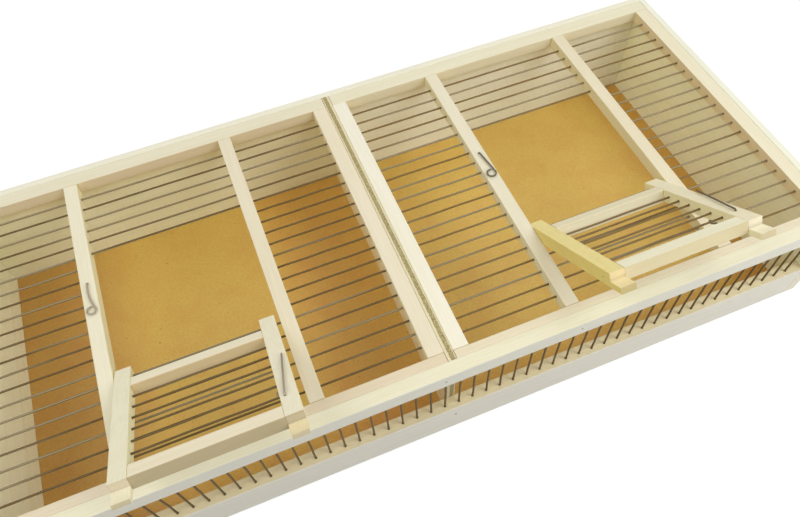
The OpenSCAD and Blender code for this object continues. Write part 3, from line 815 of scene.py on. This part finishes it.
for number, side in enumerate(("left", "right")):
    grey = bentWire["grey"][side]
    hookSteel = steelWire(side + "HookSteel", "y", 0, bentWire["hookSeed"] + number, grey)
    dress(bentHook(side), side + "_hook", hookSteel)
    latchSteel = steelWire(side + "LatchSteel", "y", 0, bentWire["latchSeed"] + number, grey)
    dress(bentLatch(side, doorTilt(side)), side + "_latch", latchSteel)
print("hooks and latches bent")

bradLook = {"dark": rgb(44, 36, 26), "worn": rgb(150, 138, 124), "roughness": 0.75, "wornAbove": 100}


def bradSteel():  # the heads on the upper rail are worn and pale, the others are dark
    f = newFinish("bradSteel")
    worn = f.maths("GREATER_THAN", f.parts(f.place())["z"], bradLook["wornAbove"])
    return f.finish(f.mix(worn, bradLook["dark"], bradLook["worn"]), bradLook["roughness"])


steel = bradSteel()
for node in ("front_brads", "end_brads", "floor_brads"):
    nodes[node].data.materials.clear()
    nodes[node].data.materials.append(steel)
print("brads coloured")

stageLook = {
    "floorSize": 14.0, "floorDrop": 0.4 * mm, "floorTone": 0.45,
    "lift": 0.64, "farLift": 0.22,       # added white, and more of it beyond the lamps' reach
    "near": 900, "far": 3000,
    "sky": 0.45, "aim": (0, 0, 0.1),     # the sky's light, and where the lamps point
}


def shownWhite(f):  # 1 where the camera, a gloss or glass looks at the stage
    camera, gloss, glass = [f.node("ShaderNodeLightPath", output="Is " + ray + " Ray")
                            for ray in ("Camera", "Glossy", "Transmission")]
    return f.maths("MAXIMUM", f.maths("MAXIMUM", camera, gloss), glass)


def paleFloor():
    look = stageLook
    size, under = look["floorSize"] / 2, -look["floorDrop"]
    mesh = bpy.data.meshes.new("studioFloor")
    corners = [(-size, -size, under), (size, -size, under), (size, size, under), (-size, size, under)]
    mesh.from_pydata(corners, [], [(0, 1, 2, 3)])
    floor = bpy.data.objects.new("studioFloor", mesh)
    bpy.context.scene.collection.objects.link(floor)
    f = newFinish("paleFloor")
    tone = look["floorTone"]
    diffuse = f.node("ShaderNodeBsdfDiffuse", None, {"Color": (tone, tone, tone, 1)})
    spot = f.parts(f.place())
    away = f.between(f.distance(spot["x"], spot["y"]), look["near"], look["far"])
    strength = shownWhite(f) * (look["lift"] + away * look["farLift"])
    glow = f.node("ShaderNodeEmission", None, {"Color": (1, 1, 1, 1), "Strength": strength})
    both = f.node("ShaderNodeAddShader", None, {0: diffuse, 1: glow})
    f.node("ShaderNodeOutputMaterial", None, {"Surface": both})
    mesh.materials.append(f.owner)


def softSky():
    world = bpy.data.worlds.new("softSky")
    bpy.context.scene.world = world
    f = Finish(world)
    strength = shownWhite(f) * (1 - stageLook["sky"]) + stageLook["sky"]
    back = f.node("ShaderNodeBackground", None, {"Color": (1, 1, 1, 1), "Strength": strength})
    f.node("ShaderNodeOutputWorld", None, {"Surface": back})


lamps = {
    "keyPanel": {"spot": (1.2, -1.15, 1.7), "size": 1.6, "power": 20.3},
    "leftPanel": {"spot": (-1.25, -0.3, 1.6), "size": 1.6, "power": 11.5},
    "backPanel": {"spot": (0.9, 0.9, 1.8), "size": 1.6, "power": 6},
    "lowPanel": {"spot": (1.1, -1.0, 0.35), "size": 0.7, "power": 2.6},
}


def softLamp(name, spot, size, power):
    light = bpy.data.lights.new(name, "AREA")
    light.shape = "DISK"
    light.size = size
    light.energy = power
    lamp = bpy.data.objects.new(name, light)
    lamp.location = spot
    lamp.rotation_euler = (Vector(stageLook["aim"]) - Vector(spot)).to_track_quat("-Z", "Y").to_euler()
    bpy.context.scene.collection.objects.link(lamp)


paleFloor()
softSky()
for name, lamp in lamps.items():
    softLamp(name, **lamp)
print("stage and lamps set")

# Fitted to the box's edges and rods in the photograph
view = {
    "spot": (-0.14068, -0.48552, 0.80909),
    "turn": (31.759, 1.964, -21.980),
    "focalPixels": 685.97,
    "width": 800,                  # of the picture in pixels
    "centre": (405.56, 282.56),    # the pixel that the lens is square to
    "middle": (400, 258.5),
    "sensor": 36,
}

camera = bpy.data.objects.new("camera", bpy.data.cameras.new("camera"))
camera.location = view["spot"]
camera.rotation_euler = Euler([math.radians(a) for a in view["turn"]], "XYZ")
camera.data.sensor_fit = "HORIZONTAL"
camera.data.sensor_width = view["sensor"]
camera.data.lens = view["focalPixels"] * view["sensor"] / view["width"]
camera.data.shift_x = (view["middle"][0] - view["centre"][0]) / view["width"]
camera.data.shift_y = (view["centre"][1] - view["middle"][1]) / view["width"]
bpy.context.scene.collection.objects.link(camera)
bpy.context.scene.camera = camera
bpy.context.scene.view_settings.view_transform = "Standard"

print("scene ready")
